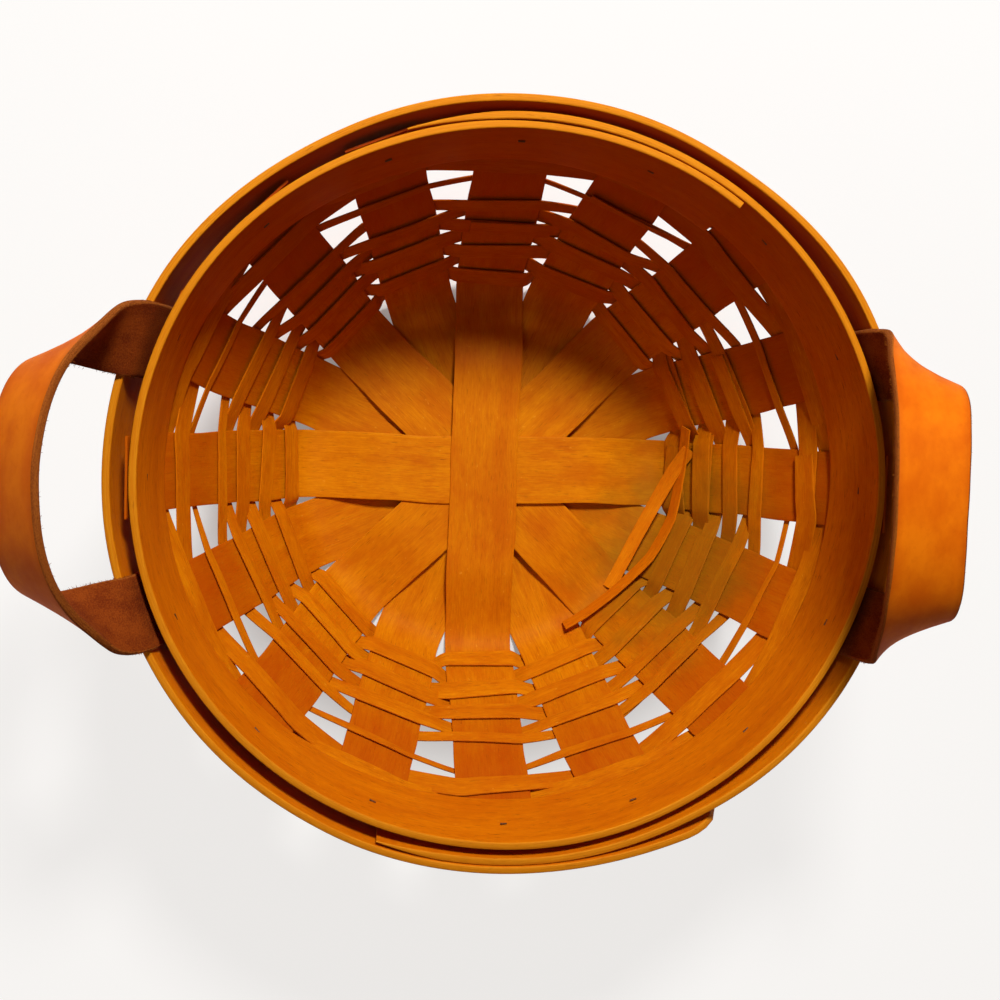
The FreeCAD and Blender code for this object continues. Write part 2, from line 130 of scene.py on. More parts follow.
def radial(angle):
    return Vector((math.cos(math.radians(angle)), math.sin(math.radians(angle)), 0))


def around(angle):
    return radial(angle + 90)


def eased(share):
    share = min(1.0, max(0.0, share))
    return share * share * (3 - 2 * share)


def hoop_radius(angle, height):
    """Radius of the inner hoop's inner face, at an angle in degrees and a height."""
    oval = RIM_OVAL * math.cos(math.radians(2 * angle)) * height / RIM_HEIGHT
    return MOUTH_RADIUS + oval - (RIM_HEIGHT - height) * HOOP_TANGENT


# Irregular lines: number of waves, how they shrink from one to the next, spread of their lengths
WAVE_COUNT = 3
WAVE_LENGTH_RATIO = 1.9
WAVE_HEIGHT_RATIO = 1.7
WAVE_SPREAD_SHARES = (0.8, 1.25)
SEED_RANGE = 100


def wavy(dice, longest, amplitude):
    """A smooth irregular line: a function of distance, made of waves of falling length."""
    waves = []
    for number in range(WAVE_COUNT):
        length = longest / WAVE_LENGTH_RATIO ** number * dice.uniform(*WAVE_SPREAD_SHARES)
        waves.append((length, dice.uniform(0, 2 * math.pi), amplitude / WAVE_HEIGHT_RATIO ** number))

    def line(distance):
        return sum(height * math.sin(2 * math.pi * distance / length + phase)
                   for length, phase, height in waves)

    return line


def add_object(name, data):
    """A new object in the scene."""
    item = bpy.data.objects.new(name, data)
    bpy.context.scene.collection.objects.link(item)
    return item


# Meshes of strips

CORNER_STEPS = 2
MOST_ROUNDING_SHARE = 0.9
SHARP_ANGLE = 50.0
FACE_SHARES = (0.94, 0.5, 0.0, -0.5, -0.94)
INNER_SIDE, EDGE_SIDE, OUTER_SIDE = 0, 1, 2


def section_ring(half_width, half_thickness, rounding):
    """Points (across, through) round a strip's section, and the side that each span belongs to."""
    ring = []
    sides = []
    flat_width = half_width - rounding
    flat_thickness = half_thickness - rounding
    for number, (wide, thick) in enumerate(((1, -1), (1, 1), (-1, 1), (-1, -1))):
        for step in range(CORNER_STEPS + 1):
            turn = math.radians(90 * (number - 1 + step / CORNER_STEPS))
            ring.append((wide * flat_width + rounding * math.cos(turn),
                         thick * flat_thickness + rounding * math.sin(turn)))
            sides.append(EDGE_SIDE)
        if number in (1, 3):
            sides[-1] = OUTER_SIDE if number == 1 else INNER_SIDE
            for share in FACE_SHARES:
                ring.append((wide * flat_width * share, thick * half_thickness))
                sides.append(sides[-1])
    return ring, sides


def turn_faces_out(mesh):
    shape = bmesh.new()
    shape.from_mesh(mesh)
    bmesh.ops.recalc_face_normals(shape, faces=shape.faces)
    shape.to_mesh(mesh)
    shape.free()


class StripMesh:
    """Gathers strips into one mesh object whose points carry their place in the strip."""

    def __init__(self, name):
        self.name = name
        self.points = []
        self.grain = []
        self.faces = []
        self.sides = []

    def add(self, stations, seed, rounding):
        """A strip through stations, closed at both ends."""
        start = len(self.points)
        count = 0
        for station in stations:
            thinnest = min(station.half_width, station.half_thickness)
            corner = min(rounding, thinnest * MOST_ROUNDING_SHARE)
            ring, sides = section_ring(station.half_width, station.half_thickness, corner)
            count = len(ring)
            for across, through in ring:
                self.points.append(station.centre + station.across * across + station.through * through)
                self.grain.append((station.along, across, seed + through))
        for number in range(len(stations) - 1):
            near = start + number * count
            far = near + count
            for index in range(count):
                following = (index + 1) % count
                self.faces.append((near + index, near + following, far + following, far + index))
                self.sides.append(sides[index])
        last = start + (len(stations) - 1) * count
        self.faces.append(tuple(range(start + count - 1, start - 1, -1)))
        self.faces.append(tuple(range(last, last + count)))
        self.sides.extend((EDGE_SIDE, EDGE_SIDE))

    def fibre(self, root, tip, breadth, seed):
        """A thin hair of leather or wood, from its root to its tip."""
        start = len(self.points)
        lean = (tip - root).cross(UP).normalized() * breadth
        depth = lean.cross(tip - root).normalized() * breadth
        for point in (root + lean, root - lean, root + depth, tip):
            self.points.append(point)
            self.grain.append((0, 0, seed))
        for face in ((0, 1, 3), (1, 2, 3), (2, 0, 3), (0, 2, 1)):
            self.faces.append(tuple(start + index for index in face))
            self.sides.append(EDGE_SIDE)

    def make(self, materials, body="basket", nodes=()):
        """The finished object: materials are for the inner side, the edges and the outer side."""
        mesh = bpy.data.meshes.new(self.name)
        mesh.from_pydata([point * MM for point in self.points], [], self.faces)
        turn_faces_out(mesh)
        attribute = mesh.attributes.new("grain", "FLOAT_VECTOR", "POINT")
        for value, data in zip(self.grain, attribute.data):
            data.vector = value
        different = list(dict.fromkeys(materials))
        for material in different:
            mesh.materials.append(material)
        for polygon, side in zip(mesh.polygons, self.sides):
            polygon.material_index = different.index(materials[side])
            polygon.use_smooth = True
        mesh.set_sharp_from_angle(angle=math.radians(SHARP_ANGLE))
        mesh.validate()
        item = add_object(self.name, mesh)
        if body:
            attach(item, body)
        if nodes:
            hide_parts(*nodes)
        return item


# Materials

FULL_VALUE = 255
# Sockets of a mix node that carry colours
FIRST_COLOUR, SECOND_COLOUR, MIXED_COLOUR = 6, 7, 2


def srgb(*values):
    """A colour given as it looks on a screen, 0 to 255, as linear light."""
    shown = Color(value / FULL_VALUE for value in values)
    return (*shown.from_srgb_to_scene_linear(), 1.0)


class Shader:
    """A node material that is put together call by call."""

    def __init__(self, name):
        self.material = bpy.data.materials.new(name)
        self.material.use_nodes = True
        self.tree = self.material.node_tree
        self.tree.nodes.clear()
        self.output = self.node("ShaderNodeOutputMaterial")

    def node(self, kind, **settings):
        item = self.tree.nodes.new(kind)
        for name, value in settings.items():
            setattr(item, name, value)
        return item

    def put(self, socket, value):
        """Sets a socket to a value, or links it to another socket."""
        if isinstance(value, bpy.types.NodeSocket):
            self.tree.links.new(value, socket)
        else:
            socket.default_value = value

    def math(self, operation, first, second=0.0):
        item = self.node("ShaderNodeMath", operation=operation)
        self.put(item.inputs[0], first)
        self.put(item.inputs[1], second)
        return item.outputs[0]

    def scaled(self, vector, scale):
        item = self.node("ShaderNodeVectorMath", operation="MULTIPLY")
        self.put(item.inputs[0], vector)
        self.put(item.inputs[1], scale)
        return item.outputs[0]

    def noise(self, vector, scale, detail=4.0, roughness=0.55):
        """Cloudy noise, at a scale of its own along each axis."""
        item = self.node("ShaderNodeTexNoise")
        self.put(item.inputs["Vector"], self.scaled(vector, scale))
        self.put(item.inputs["Scale"], 1.0)
        self.put(item.inputs["Detail"], detail)
        self.put(item.inputs["Roughness"], roughness)
        return item.outputs["Fac"]

    def ramp(self, value, low, high):
        """0 below low, 1 above high, smooth between."""
        item = self.node("ShaderNodeMapRange", interpolation_type="SMOOTHSTEP")
        self.put(item.inputs["Value"], value)
        self.put(item.inputs["From Min"], low)
        self.put(item.inputs["From Max"], high)
        return item.outputs["Result"]

    def mix(self, share, first, second):
        item = self.node("ShaderNodeMix", data_type="RGBA")
        self.put(item.inputs["Factor"], share)
        self.put(item.inputs[FIRST_COLOUR], first)
        self.put(item.inputs[SECOND_COLOUR], second)
        return item.outputs[MIXED_COLOUR]

    def tint(self, colour, other, place, share):
        """A colour with a share of another one where place is 1."""
        return self.mix(self.math("MULTIPLY", place, share), colour, other)

    def total(self, values, shares):
        """The sum of values, each times its share."""
        result = 0.0
        for value, share in zip(values, shares):
            result = self.math("ADD", result, self.math("MULTIPLY", value, share))
        return result

    def varied(self, base, pattern, spread):
        return self.math("ADD", self.math("MULTIPLY", pattern, spread), base)

    def part(self, vector, axis):
        item = self.node("ShaderNodeSeparateXYZ")
        self.put(item.inputs[0], vector)
        return item.outputs[axis]

    def bump(self, height, distance, strength):
        item = self.node("ShaderNodeBump")
        self.put(item.inputs["Height"], height)
        self.put(item.inputs["Distance"], distance)
        self.put(item.inputs["Strength"], strength)
        return item.outputs["Normal"]

    def surface(self, colour, roughness, normal, **values):
        item = self.node("ShaderNodeBsdfPrincipled")
        self.put(item.inputs["Base Color"], colour)
        self.put(item.inputs["Roughness"], roughness)
        self.put(item.inputs["Normal"], normal)
        for name, value in values.items():
            self.put(item.inputs[name.replace("_", " ")], value)
        self.put(self.output.inputs["Surface"], item.outputs[0])
        return self.material

    def grain(self):
        """Place in the strip: (along, across, piece), in millimetres."""
        return self.node("ShaderNodeAttribute", attribute_name="grain").outputs["Vector"]


# Wood: scales of its patterns along, across and from piece to piece, per millimetre
FIBRE_SCALE = (0.15, 2.4, 7.3)
STREAK_SCALE = (0.010, 0.2, 3.1)
MOTTLE_SCALE = (0.22, 0.55, 4.3)
BLOTCH_SCALE = (0.035, 0.07, 5.7)
PORE_SCALE = (0.2, 3.2, 1.9)
SPECK_SCALE = (0.4, 0.9, 2.3)
PIECE_SCALE = (0.0, 0.0, 11.7)
# Shares of the fibres, streaks and mottles in the tone, and the limits between which the tones change
TONE_SHARES = (0.4, 0.3, 0.3)
DARK_TONES, LIGHT_TONES = (0.30, 0.56), (0.50, 0.72)
BLOTCH_LIMITS, PIECE_LIMITS = (0.42, 0.68), (0.35, 0.65)
PORE_LIMITS, SPECK_LIMITS = (0.67, 0.77), (0.68, 0.78)
PIECE_SHARE = 0.25
PORE_COLOUR = srgb(70, 22, 2)
SPECK_COLOUR = srgb(238, 172, 52)
SPECK_SHARE = 0.3
# Painted shade: redder, darker wood towards the back, in metres, and up the wall, in millimetres along a
# stake
BACK_SHADE_REACH = (0.015, 0.11)
BACK_SHADE_COLOUR = srgb(150, 34, 1)
BACK_SHADE_SHARE = 0.55
WALL_SHADE_REACH = (95.0, 150.0)
WALL_SHADE_COLOUR = srgb(168, 56, 1)
WALL_SHADE_SHARE = 0.6
# A mouldy stain beside the floor at the right, in metres
STAIN_PLACE = (0.085, -0.035, 0.02)
STAIN_REACH = (0.045, 0.085)
STAIN_EDGE_SCALE = (70.0, 70.0, 70.0)
STAIN_EDGE = 0.05
STAIN_COLOUR = srgb(120, 84, 14)
STAIN_SHARE = 0.55
# Surface of the wood: depth of the pores against the fibres, height in metres, roughness and shine
PORE_DEPTH_SHARE = 0.8
WOOD_RELIEF, WOOD_RELIEF_SHARE = 0.00025, 0.35
WOOD_ROUGHNESS, WOOD_ROUGHNESS_SPREAD = 0.48, 0.22
WOOD_SHINE = 0.05


def wood(name, dark, middle, light, red, red_share, pore_share, painted_back_shade=True, stained=False, wall_shade=False):
    """Stained veneer: fine fibres and broad streaks along the strip, dark pores, uneven stain, and painted
    shade towards the back and up the wall.
    """
    shader = Shader(name)
    place = shader.grain()
    spot = shader.node("ShaderNodeTexCoord").outputs["Object"]
    fibre = shader.noise(place, FIBRE_SCALE, detail=5, roughness=0.6)
    streak = shader.noise(place, STREAK_SCALE, detail=3)
    mottle = shader.noise(place, MOTTLE_SCALE, detail=6, roughness=0.7)
    blotch = shader.noise(place, BLOTCH_SCALE, detail=5, roughness=0.65)
    pore = shader.ramp(shader.noise(place, PORE_SCALE, detail=1), *PORE_LIMITS)
    speck = shader.ramp(shader.noise(place, SPECK_SCALE, detail=2), *SPECK_LIMITS)
    piece = shader.noise(place, PIECE_SCALE, detail=0)
    tone = shader.total((fibre, streak, mottle), TONE_SHARES)
    colour = shader.mix(shader.ramp(tone, *DARK_TONES), dark, middle)
    colour = shader.mix(shader.ramp(tone, *LIGHT_TONES), colour, light)
    colour = shader.tint(colour, red, shader.ramp(blotch, *BLOTCH_LIMITS), red_share)
    colour = shader.tint(colour, red, shader.ramp(piece, *PIECE_LIMITS), PIECE_SHARE)
    colour = shader.tint(colour, PORE_COLOUR, pore, pore_share)
    colour = shader.tint(colour, SPECK_COLOUR, speck, SPECK_SHARE)
    # Painted shade: redder, darker wood towards the back, where the far wall lies in shade
    if painted_back_shade:
        backward = shader.ramp(shader.part(spot, "Y"), *BACK_SHADE_REACH)
        colour = shader.tint(colour, BACK_SHADE_COLOUR, backward, BACK_SHADE_SHARE)
    # Painted shade: stakes redder and darker up the wall, where the wall stands in shade
    if wall_shade:
        upward = shader.ramp(shader.math("ABSOLUTE", shader.part(place, "X")), *WALL_SHADE_REACH)
        colour = shader.tint(colour, WALL_SHADE_COLOUR, upward, WALL_SHADE_SHARE)
    if stained:
        patch = shader.node("ShaderNodeVectorMath", operation="DISTANCE")
        shader.put(patch.inputs[0], spot)
        shader.put(patch.inputs[1], STAIN_PLACE)
        edge = shader.noise(spot, STAIN_EDGE_SCALE)
        reach = shader.total((patch.outputs["Value"], edge), (1.0, STAIN_EDGE))
        near = shader.math("SUBTRACT", 1.0, shader.ramp(reach, *STAIN_REACH))
        colour = shader.tint(colour, STAIN_COLOUR, near, STAIN_SHARE)
    height = shader.math("SUBTRACT", fibre, shader.math("MULTIPLY", pore, PORE_DEPTH_SHARE))
    rough = shader.varied(WOOD_ROUGHNESS, fibre, WOOD_ROUGHNESS_SPREAD)
    relief = shader.bump(height, WOOD_RELIEF, WOOD_RELIEF_SHARE)
    return shader.surface(colour, rough, relief, Specular_IOR_Level=WOOD_SHINE)


# Dark, middle, light and red tones of each kind of strip, then the shares of red blotches and of pores
stake_wood = wood("stake_wood", srgb(188, 94, 1), srgb(212, 123, 2), srgb(225, 144, 6), srgb(184, 80, 1),
                  red_share=0.5, pore_share=0.45, stained=True, wall_shade=True)
weaver_wood = wood("weaver_wood", srgb(180, 86, 1), srgb(208, 117, 2), srgb(225, 141, 8), srgb(178, 72, 1),
                   red_share=0.45, pore_share=0.45, stained=True)
loose_wood = wood("loose_wood", srgb(186, 88, 1), srgb(216, 122, 4), srgb(230, 144, 10), srgb(192, 84, 1),
                  red_share=0.3, pore_share=0.45)
hoop_wood = wood("hoop_wood", srgb(186, 90, 1), srgb(212, 114, 2), srgb(226, 134, 6), srgb(190, 84, 1),
                 red_share=0.35, pore_share=0.7)
hoop_edge_wood = wood("hoop_edge_wood", srgb(184, 98, 6), srgb(214, 134, 18), srgb(234, 160, 36),
                      srgb(196, 98, 6), red_share=0.4, pore_share=0.3, painted_back_shade=False)


# Leather: scales of its patterns along, across and from strap to strap, per millimetre
CLOUD_SCALE = (0.05, 0.07, 3.3)
SPOT_SCALE = (0.5, 0.5, 9.1)
CREASE_SCALE = (0.35, 0.05, 2.7)
CELL_SCALE = (1.5, 1.5, 1.0)
MAT_SCALE = (1.6, 1.6, 4.1)
FLESH_CLOUD_SCALE = (0.09, 0.12, 6.1)
STRAND_SCALE = (2.6, 1.1, 2.2)
# The dyed side: two tones, darker spots and borders, and their shares
CLOUD_LIMITS, SPOT_LIMITS = (0.3, 0.7), (0.52, 0.72)
DYED_DARK, DYED_LIGHT = srgb(206, 92, 4), srgb(226, 116, 8)
SPOT_COLOUR, SPOT_SHARE = srgb(190, 78, 3), 0.15
BORDER_WIDTH = 3.5
BORDER_COLOUR, BORDER_SHARE = srgb(168, 60, 4), 0.4
CELL_DEPTH_SHARE = 0.5
DYED_RELIEF, DYED_RELIEF_SHARE = 0.0002, 0.25
DYED_ROUGHNESS, DYED_ROUGHNESS_SPREAD = 0.52, 0.15
DYED_SHINE = 0.04
# The raw side: matted fibres with a few pale strands
FLESH_SHARES = (0.6, 0.4)
FLESH_LIMITS, STRAND_LIMITS = (0.36, 0.62), (0.6, 0.75)
STRAND_COLOUR, STRAND_SHARE = srgb(172, 98, 36), 0.3
FLESH_RELIEF, FLESH_RELIEF_SHARE = 0.0006, 0.7
FLESH_ROUGHNESS = 0.92
FLESH_SHINE = 0.08


def leather_grain():
    """The smooth dyed side of the leather, with faint pores, creases and darker borders."""
    shader = Shader("leather_grain")
    place = shader.grain()
    cloud = shader.noise(place, CLOUD_SCALE, detail=5, roughness=0.6)
    mottle = shader.noise(place, SPOT_SCALE, detail=3)
    crease = shader.noise(place, CREASE_SCALE, detail=4, roughness=0.7)
    cell = shader.node("ShaderNodeTexVoronoi", feature="F1")
    shader.put(cell.inputs["Vector"], shader.scaled(place, CELL_SCALE))
    from_middle = shader.math("ABSOLUTE", shader.part(place, "Y"))
    border = shader.ramp(from_middle, STRAP_WIDTH / 2 - BORDER_WIDTH, STRAP_WIDTH / 2)
    colour = shader.mix(shader.ramp(cloud, *CLOUD_LIMITS), DYED_DARK, DYED_LIGHT)
    colour = shader.tint(colour, SPOT_COLOUR, shader.ramp(mottle, *SPOT_LIMITS), SPOT_SHARE)
    colour = shader.tint(colour, BORDER_COLOUR, border, BORDER_SHARE)
    height = shader.total((cell.outputs["Distance"], crease), (CELL_DEPTH_SHARE, 1.0))
    rough = shader.varied(DYED_ROUGHNESS, mottle, DYED_ROUGHNESS_SPREAD)
    relief = shader.bump(height, DYED_RELIEF, DYED_RELIEF_SHARE)
    return shader.surface(colour, rough, relief, Specular_IOR_Level=DYED_SHINE)


def leather_flesh(name, dark, light):
    """The raw side and the cut edges of the leather: matted fibres."""
    shader = Shader(name)
    place = shader.grain()
    mat = shader.noise(place, MAT_SCALE, detail=6, roughness=0.7)
    cloud = shader.noise(place, FLESH_CLOUD_SCALE, detail=3)
    strand = shader.noise(place, STRAND_SCALE, detail=3, roughness=0.7)
    colour = shader.mix(shader.ramp(shader.total((mat, cloud), FLESH_SHARES), *FLESH_LIMITS), dark, light)
    colour = shader.tint(colour, STRAND_COLOUR, shader.ramp(strand, *STRAND_LIMITS), STRAND_SHARE)
    relief = shader.bump(shader.math("ADD", mat, strand), FLESH_RELIEF, FLESH_RELIEF_SHARE)
    return shader.surface(colour, FLESH_ROUGHNESS, relief, Specular_IOR_Level=FLESH_SHINE)


# Tack iron: scale of the rust per metre, its limits and colours, and the surface
RUST_SCALE = (900.0, 900.0, 900.0)
RUST_LIMITS = (0.4, 0.62)
IRON_COLOUR, RUST_COLOUR = srgb(92, 72, 52), srgb(120, 62, 24)
IRON_ROUGHNESS, IRON_ROUGHNESS_SPREAD = 0.35, 0.4
IRON_RELIEF, IRON_RELIEF_SHARE = 0.0002, 0.4
IRON_METAL_SHARE = 0.7


def tack_metal():
    """Dull iron, browned by age."""
    shader = Shader("tack_metal")
    spot = shader.node("ShaderNodeTexCoord").outputs["Object"]
    rust = shader.noise(spot, RUST_SCALE)
    colour = shader.mix(shader.ramp(rust, *RUST_LIMITS), IRON_COLOUR, RUST_COLOUR)
    rough = shader.varied(IRON_ROUGHNESS, rust, IRON_ROUGHNESS_SPREAD)
    relief = shader.bump(rust, IRON_RELIEF, IRON_RELIEF_SHARE)
    return shader.surface(colour, rough, relief, Metallic=IRON_METAL_SHARE)


strap_grain = leather_grain()
strap_flesh = leather_flesh("leather_flesh", srgb(104, 36, 6), srgb(146, 66, 14))
strap_edge = leather_flesh("leather_edge", srgb(112, 48, 12), srgb(168, 92, 30))
tack_iron = tack_metal()


# Stakes

class WallLine:
    """The inner face of one stake's wall, as a line in its upright plane (distance out, height)."""

    def __init__(self, angle):
        self.foot = (FLOOR_RADIUS, STAKE_THICKNESS)
        self.shoulder = (hoop_radius(angle, LOWER_EDGE_HEIGHT) + STAKE_FACE, LOWER_EDGE_HEIGHT)
        run = self.shoulder[0] - self.foot[0]
        rise = self.shoulder[1] - self.foot[1]
        self.length = math.hypot(run, rise)
        self.out, self.up = run / self.length, rise / self.length

    def point(self, along, outward):
        return (self.foot[0] + self.out * along + self.up * outward,
                self.foot[1] + self.up * along - self.out * outward)


def weave_side(stake, row):
    """-1 where a row passes inside a stake, +1 where it passes outside."""
    return -1 if (stake + row) % 2 == 0 else 1


STRIP_PITCH = 0.95
WEAVE_PUSH = 0.15
WEAVER_SLACK = 0.45
WEAVER_CRISP_SHARE = 0.45
PATH_STEP = 2.0
SMOOTHING_ROUNDS = 4
LOWER_RAMP_SHARES = (0.0, 0.74)
UPPER_RAMP_SHARES = (0.28, 0.98)
CROSSING_MARGIN = 3.0
STAKE_SPREAD = 0.5
STAKE_ROUNDING = 0.15
# Unevenness of a stake's edges and course: longest wave and height
STAKE_EDGE_WAVE = (90, 0.22)
STAKE_OTHER_EDGE_WAVE = (80, 0.22)
STAKE_SWAY_WAVE = (160, 0.35)


def spread(corners, step):
    """Points at even distances along a line through corners."""
    points = []
    for before, after in zip(corners, corners[1:]):
        count = max(1, round((after - before).length / step))
        points.extend(before.lerp(after, number / count) for number in range(count))
    return points + [corners[-1]]


def smoothed(points, rounds):
    for _ in range(rounds):
        middle = [(a + 2 * b + c) / 4 for a, b, c in zip(points, points[1:], points[2:])]
        points = [points[0]] + middle + [points[-1]]
    return points


def stake_half_path(angle, level, stake, recess):
    """Middle of a strip from the centre of the floor to its top: (distance out, height)."""
    wall = WallLine(angle)
    lower = level < LOWER_STAKES
    half = STAKE_THICKNESS / 2
    crossing = STAKE_WIDTH / 2 / math.tan(math.radians(STAKE_STEP)) + CROSSING_MARGIN
    floor_run = FLOOR_RADIUS - BEND_RADIUS - crossing
    start_share, end_share = LOWER_RAMP_SHARES if lower else UPPER_RAMP_SHARES
    stack = half + level * STRIP_PITCH
    floor = half + (0 if lower else STRIP_PITCH)
    top_height = RIM_HEIGHT - recess
    corners = [
        Vector((0, stack)),
        Vector((crossing + start_share * floor_run, stack)),
        Vector((crossing + end_share * floor_run, floor)),
        Vector((FLOOR_RADIUS - BEND_RADIUS / 3, floor)),
        Vector(wall.point(BEND_RADIUS / 2, half)),
        Vector(wall.point(wall.length, half)),
        Vector((hoop_radius(angle, top_height) + STAKE_FACE + half, top_height)),
    ]
    points = smoothed(spread(corners, PATH_STEP), SMOOTHING_ROUNDS)
    first, last = FIRST_ROW - ROW_PITCH / 2, LAST_ROW + ROW_PITCH / 2
    pushed = []
    for point in points:
        along = (point.x - wall.foot[0]) * wall.out + (point.y - wall.foot[1]) * wall.up
        fade = eased((along - first) / ROW_PITCH) * eased((last - along) / ROW_PITCH)
        wave = math.cos(math.pi * (along - FIRST_ROW) / ROW_PITCH)
        push = -weave_side(stake, 0) * WEAVE_PUSH * wave * fade
        pushed.append(point + Vector((wall.up, -wall.out)) * push)
    return pushed


def make_stake(name, angle, level):
    """One long strip, from one top over the floor to the other top."""
    dice = random.Random(name)
    recess = TALL_STAKE_RECESS if name == TALL_STAKE else STAKE_RECESS
    half_path = stake_half_path(angle, level, round(angle / STAKE_STEP), recess)
    path = [Vector((-point.x, point.y)) for point in reversed(half_path[1:])] + half_path
    edge = wavy(dice, *STAKE_EDGE_WAVE)
    other_edge = wavy(dice, *STAKE_OTHER_EDGE_WAVE)
    sway = wavy(dice, *STAKE_SWAY_WAVE)
    out, side = radial(angle), around(angle)
    stations = []
    along = 0
    for number, point in enumerate(path):
        before = path[max(0, number - 1)]
        after = path[min(len(path) - 1, number + 1)]
        along += (point - before).length
        heading = (after - before).normalized()
        through = out * -heading.y + UP * heading.x
        half_width = STAKE_WIDTH / 2 + STAKE_SPREAD + (edge(along) + other_edge(along)) / 2
        shift = sway(along) + (edge(along) - other_edge(along)) / 2
        centre = out * point.x + UP * point.y + side * shift
        stations.append(Station(centre, side, through, half_width, STAKE_THICKNESS / 2, along))
    stations = [station._replace(along=station.along - along / 2) for station in stations]
    strip = StripMesh(name + "_strip")
    strip.add(stations, dice.uniform(0, SEED_RANGE), STAKE_ROUNDING)
    strip.make([stake_wood] * 3, nodes=[name])


# Weavers

WEAVER_REACH_SHARES = (-1.0, -0.35, 0.35, 1.0)
WEAVER_WIDTH = 8.8
# Rows that differ, counted from 0 at the floor: widths, and moves up the wall around the open course
ROW_WIDTHS = {3: 8.2, 4: 7.5, 5: 6.6, 6: 5.2, 7: 3.0}
ROW_SHIFTS = {3: -0.9, 4: -1.9, 5: -3.4, 6: -5.6, 8: 1.4}
WEAVER_SPLINE_STEPS = 4
AHEAD_SHARE = 0.05
WEAVER_ROUNDING = 0.12
WEAVER_MARGIN = 0.3
WEAVER_BULGE = 0.15
# Unevenness of the weavers: width of a row, height and slant over one stake, drift and breadth
ROW_WIDTH_SPREAD = 0.2
WEAVER_JITTER = 0.8
WEAVER_SLANT = 1.3
WEAVER_DRIFT_WAVE = (260, 0.5)
WEAVER_BREADTH_WAVE = (180, 0.35)
# Length of a weaver from stake to stake, and from the middle of a stake to its edge
PASS_LENGTH = 45.0
PASS_REACH = 13.0


def spline(values, share):
    """Catmull-Rom blend of four values, between the second and the third."""
    a, b, c, d = values
    return (b * 2 + (c - a) * share + (a * 2 - b * 5 + c * 4 - d) * share ** 2
            + (b * 3 - a - c * 3 + d) * share ** 3) / 2


def weaver_controls(row, dice):
    """Places and directions of a weaver over each stake: (centre, across, half width)."""
    drift = wavy(dice, *WEAVER_DRIFT_WAVE)
    breadth = wavy(dice, *WEAVER_BREADTH_WAVE)
    half_width = ROW_WIDTHS.get(row, WEAVER_WIDTH) / 2 + dice.uniform(-ROW_WIDTH_SPREAD, ROW_WIDTH_SPREAD)
    middle = FIRST_ROW + ROW_PITCH * row + ROW_SHIFTS.get(row, 0)
    layer = WEAVER_THICKNESS + STRIP_CLEARANCE
    reach = STAKE_WIDTH / 2 + WEAVER_MARGIN
    controls = []
    for number in range(STAKE_COUNT + WEAVER_LAP_STAKES):
        stake = ROW_START_STAKES[row] + number
        angle = stake * STAKE_STEP
        wall = WallLine(angle)
        side = weave_side(stake, row)
        outward = side * ((STAKE_THICKNESS + WEAVER_THICKNESS) / 2 + STRIP_CLEARANCE + WEAVER_SLACK)
        outward += STAKE_THICKNESS / 2
        if number < WEAVER_LAP_STAKES and side > 0:
            outward += layer
        if number >= STAKE_COUNT and side < 0:
            outward -= layer
        jitter = dice.uniform(-WEAVER_JITTER, WEAVER_JITTER)
        slant = dice.uniform(-WEAVER_SLANT, WEAVER_SLANT)
        for share in WEAVER_REACH_SHARES:
            bulge = side * WEAVER_BULGE * (1 - abs(share))
            distance = number * PASS_LENGTH + share * PASS_REACH
            along = middle + drift(distance) + jitter + slant * share
            out, height = wall.point(along, outward + bulge)
            centre = radial(angle) * out + around(angle) * share * reach + UP * height
            across = radial(angle) * wall.out + UP * wall.up
            controls.append((centre, across, half_width + breadth(distance)))
    return controls


def weaver_point(four, share):
    """A point between the second and the third place: partly straight, partly smooth."""
    smooth = spline([item[0] for item in four], share)
    straight = four[1][0].lerp(four[2][0], share)
    return smooth.lerp(straight, WEAVER_CRISP_SHARE)


def strip_stations(controls, thickness):
    """Smooth stations through control places."""
    stations = []
    along = 0
    last = len(controls) - 1
    for number in range(last):
        four = [controls[min(last, max(0, number + offset))] for offset in (-1, 0, 1, 2)]
        for step in range(WEAVER_SPLINE_STEPS):
            share = step / WEAVER_SPLINE_STEPS
            centre = weaver_point(four, share)
            ahead = weaver_point(four, share + AHEAD_SHARE)
            across = four[1][1].lerp(four[2][1], share).normalized()
            half_width = four[1][2] + (four[2][2] - four[1][2]) * share
            heading = (ahead - centre).normalized()
            across = (across - heading * across.dot(heading)).normalized()
            through = heading.cross(across)
            if stations:
                along += (centre - stations[-1].centre).length
            stations.append(Station(centre, across, through, half_width, thickness / 2, along))
    return stations


# Loose lengths of a weaver beside the floor at the right: half the width, its direction, and places
LOOSE_LENGTHS = [
    (2.9, Vector((0.80, 0.42, 0.42)), [
        (84, 11, 20), (79, 2, 15), (72, -14, 8.8), (65, -29, 6.2), (60, -40, 4.8), (54, -52, 4.2),
    ]),
    (3.0, Vector((0.35, -0.2, 0.9)), [
        (82, 20, 21), (82, 4, 16), (79, -18, 14), (71, -35, 11.5), (58, -49, 9), (45, -60, 7.2),
        (34, -67, 6),
    ]),
]


def make_weaver(row):
    """One row of the wall."""
    name = f"weaver_row_{row + 1:02d}"
    dice = random.Random(name)
    strip = StripMesh(name + "_strip")
    stations = strip_stations(weaver_controls(row, dice), WEAVER_THICKNESS)
    strip.add(stations, dice.uniform(0, SEED_RANGE), WEAVER_ROUNDING)
    strip.make([weaver_wood] * 3, nodes=[name])


def make_loose_ends():
    """The lengths of weaver that have come off the wall beside the floor."""
    dice = random.Random("loose ends")
    strip = StripMesh("loose_ends")
    for half_width, across, places in LOOSE_LENGTHS:
        controls = [(Vector(place), across.normalized(), half_width) for place in places]
        strip.add(strip_stations(controls, WEAVER_THICKNESS), dice.uniform(0, SEED_RANGE), WEAVER_ROUNDING)
    strip.make([loose_wood] * 3)


# Hoops

HOOP_STATION_STEP = 1.5
HOOP_ROUNDING = 0.45
